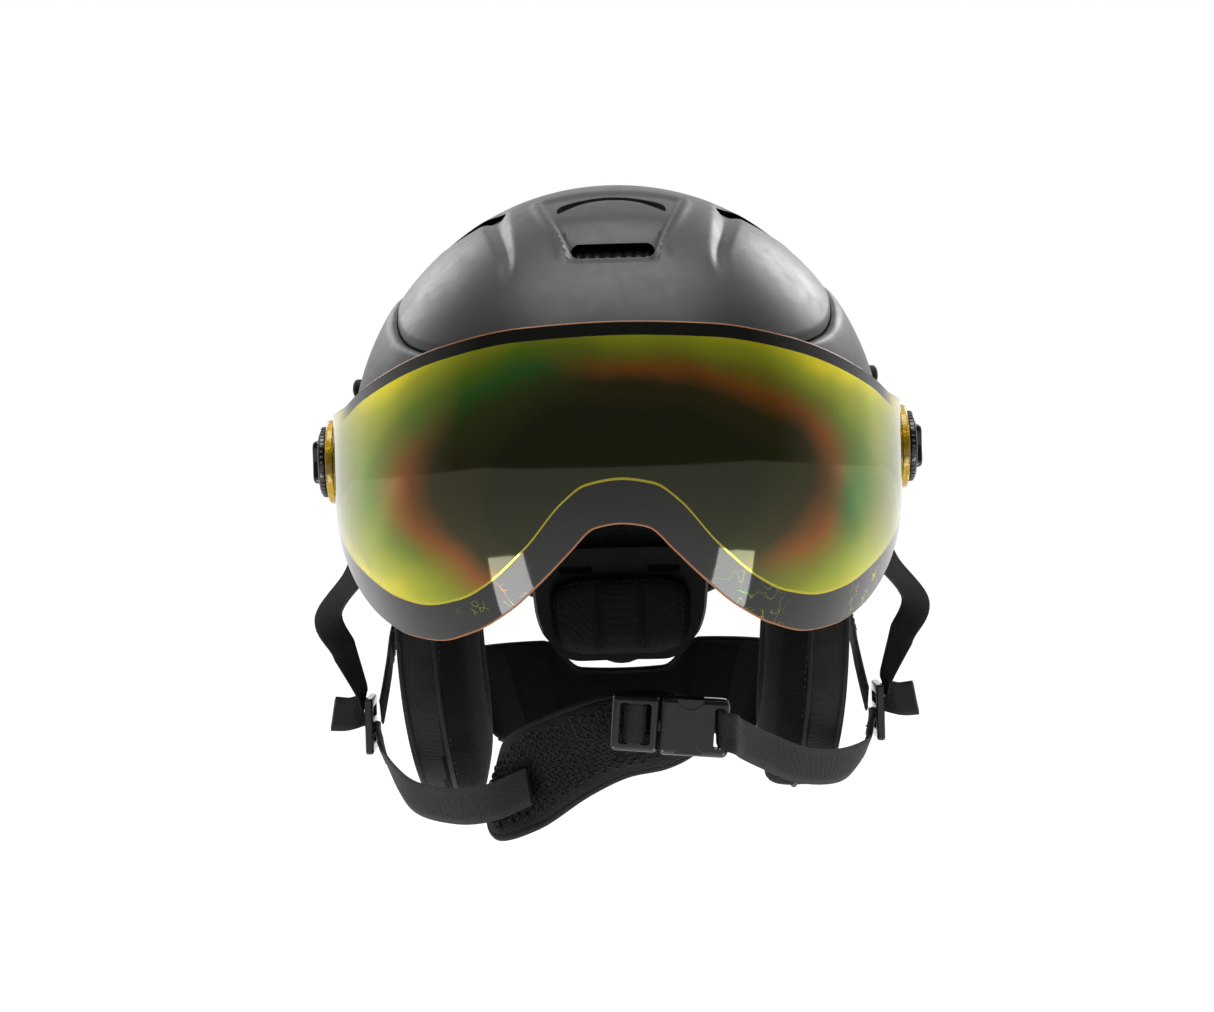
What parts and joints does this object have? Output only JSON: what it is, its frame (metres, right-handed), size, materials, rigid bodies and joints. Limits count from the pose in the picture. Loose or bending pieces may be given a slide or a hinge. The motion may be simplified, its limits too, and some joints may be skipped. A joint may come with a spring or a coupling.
{
  "type": "ski helmet with visor",
  "caption": "Ski helmet with a two-part hard shell, swing-up mirrored visor on side pivots, ear pads, chin pad, webbing and side-release buckle.",
  "frame": {"origin": "on the visor's pivot axis, midway between the two pivots, in the middle of the head cavity", "axes": "-Y towards the face, +Z towards the crown, +X to the right as seen from in front of the helmet, which is the wearer's left side"},
  "size_m": [0.2616, 0.2932, 0.2689],
  "materials": {
    "shell": "satin matte black ABS",
    "side_shell": "satin matte black ABS",
    "foam": "expanded foam beads",
    "seal": "closed-cell foam rubber",
    "lens": "yellow mirror coating with a black printed border",
    "clear_yellow": "clear yellow polycarbonate",
    "fleece": "short black pile",
    "spacer_mesh": "knitted spacer mesh with round holes",
    "webbing": "ribbed polyester webbing",
    "grey_nylon": "moulded nylon",
    "matte_nylon": "moulded nylon",
    "gloss_black": "polished acetal"
  },
  "bodies": {
    "helmet": {"brow_pad": "fleece", "crown_pad": "fleece", "dial_housing": "matte_nylon", "ear_pad_left": "fleece", "ear_pad_right": "fleece", "fit_cradle": "matte_nylon", "foam_liner": "foam", "front_strap_left": "webbing", "front_strap_right": "webbing", "intake_insert": "grey_nylon", "lower_shell": "side_shell", "nape_pad": "fleece", "neck_roll": "fleece", "pad_snap_front_left": "gloss_black", "pad_snap_front_right": "gloss_black", "pad_snap_rear_left": "gloss_black", "pad_snap_rear_right": "gloss_black", "pivot_base_left": "gloss_black", "pivot_base_right": "gloss_black", "rear_strap_left": "webbing", "rear_strap_right": "webbing", "side_pad_left": "fleece", "side_pad_right": "fleece", "strap_anchor_front_left": "matte_nylon", "strap_anchor_front_right": "matte_nylon", "strap_anchor_rear_left": "matte_nylon", "strap_anchor_rear_right": "matte_nylon", "upper_shell": "shell", "visor_stop_left": "gloss_black", "visor_stop_right": "gloss_black"},
    "visor": {"visor_lens": "lens", "visor_seal": "seal", "pivot_ring_left": "clear_yellow", "pivot_ring_right": "clear_yellow"},
    "knob_left": {"pivot_knob_left": "gloss_black"},
    "knob_right": {"pivot_knob_right": "gloss_black"},
    "dial": {"fit_dial": "grey_nylon"},
    "arm_left": {"fit_arm_left": "matte_nylon"},
    "arm_right": {"fit_arm_right": "matte_nylon"},
    "chin_loop": {"chin_strap_left": "webbing", "chin_strap_right": "webbing", "chin_pad": "spacer_mesh", "buckle_socket": "gloss_black", "buckle_plug": "gloss_black"},
    "prong_upper": {"buckle_prong_upper": "gloss_black"},
    "prong_lower": {"buckle_prong_lower": "gloss_black"},
    "slider_left": {"strap_slider_left": "gloss_black", "strap_tail_left": "webbing"},
    "slider_right": {"strap_slider_right": "gloss_black", "strap_tail_right": "webbing"}
  },
  "joints": [
    {"name": "visor_swing", "type": "hinge", "parent": "helmet", "child": "visor", "pos_m": [0, 0, 0], "axis": [-1, 0, 0], "range_deg": [0, 60]},
    {"name": "knob_left_turn", "type": "hinge", "parent": "helmet", "child": "knob_left", "pos_m": [-0.1243, 0, 0], "axis": [-1, 0, 0], "range_deg": [0, 90]},
    {"name": "knob_right_turn", "type": "hinge", "parent": "helmet", "child": "knob_right", "pos_m": [0.1243, 0, 0], "axis": [1, 0, 0], "range_deg": [0, 90]},
    {"name": "dial_turn", "type": "hinge", "parent": "helmet", "child": "dial", "pos_m": [0, 0.10552, -0.08537], "axis": [0, 0.9393, -0.3431], "range_deg": [-90, 90]},
    {"name": "arm_left_feed", "type": "hinge", "parent": "helmet", "child": "arm_left", "pos_m": [0.01048, 0.03169, -0.057], "axis": [0, 0, 1], "range_deg": [-4, 4]},
    {"name": "arm_right_feed", "type": "hinge", "parent": "helmet", "child": "arm_right", "pos_m": [-0.01048, 0.03169, -0.057], "axis": [0, 0, -1], "range_deg": [-4, 4]},
    {"name": "chin_loop_swing", "type": "hinge", "parent": "helmet", "child": "chin_loop", "pos_m": [0, -0.004, -0.113], "axis": [-1, 0, 0], "range_deg": [-8, 30]},
    {"name": "prong_upper_squeeze", "type": "hinge", "parent": "chin_loop", "child": "prong_upper", "pos_m": [0.01384, -0.102, -0.09716], "axis": [0, 1, 0], "range_deg": [0, 7], "stiffness_Nm_per_rad": 0.05},
    {"name": "prong_lower_squeeze", "type": "hinge", "parent": "chin_loop", "child": "prong_lower", "pos_m": [0.01257, -0.102, -0.1117], "axis": [0, -1, 0], "range_deg": [0, 7], "stiffness_Nm_per_rad": 0.05},
    {"name": "slider_left_travel", "type": "slide", "parent": "helmet", "child": "slider_left", "axis": [0, 0, -1], "range_m": [0, 0.006]},
    {"name": "slider_right_travel", "type": "slide", "parent": "helmet", "child": "slider_right", "axis": [0, 0, -1], "range_m": [0, 0.006]}
  ],
  "couplings": [
    {"joint": "arm_left_feed", "follows": "dial_turn", "ratio": -0.044},
    {"joint": "arm_right_feed", "follows": "dial_turn", "ratio": -0.044},
    {"joint": "prong_lower_squeeze", "follows": "prong_upper_squeeze", "ratio": 1}
  ]
}
